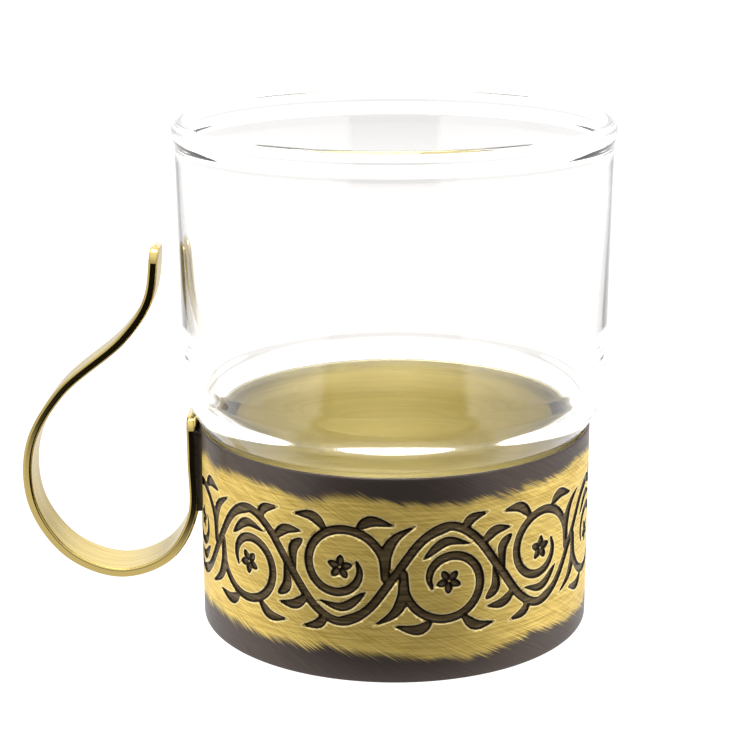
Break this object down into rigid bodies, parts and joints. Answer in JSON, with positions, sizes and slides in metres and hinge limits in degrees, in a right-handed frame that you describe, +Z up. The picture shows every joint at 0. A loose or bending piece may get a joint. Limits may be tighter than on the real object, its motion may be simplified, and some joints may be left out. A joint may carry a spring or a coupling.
{
  "type": "tea glass in a brass holder",
  "caption": "Clear stepped tea glass with a beaded rim, standing in a low engraved brass holder with a bent brass strip handle.",
  "frame": {"origin": "middle of the holder's flat underside", "axes": "+Z up along the axis of the glass; -X towards the handle's loop, so the whole is longest along X; -Y towards the viewer with the handle at the left"},
  "size_m": [0.1098, 0.08, 0.094],
  "materials": {
    "patinated_brass": "brushed brass with a dark brown patina on both borders and in the engraved lines",
    "polished_brass": "brushed faces and polished edges",
    "clear_glass": "clear fire-polished glass"
  },
  "bodies": {
    "root": {"holder": "patinated_brass", "handle": "polished_brass", "glass": "clear_glass"}
  },
  "joints": []
}
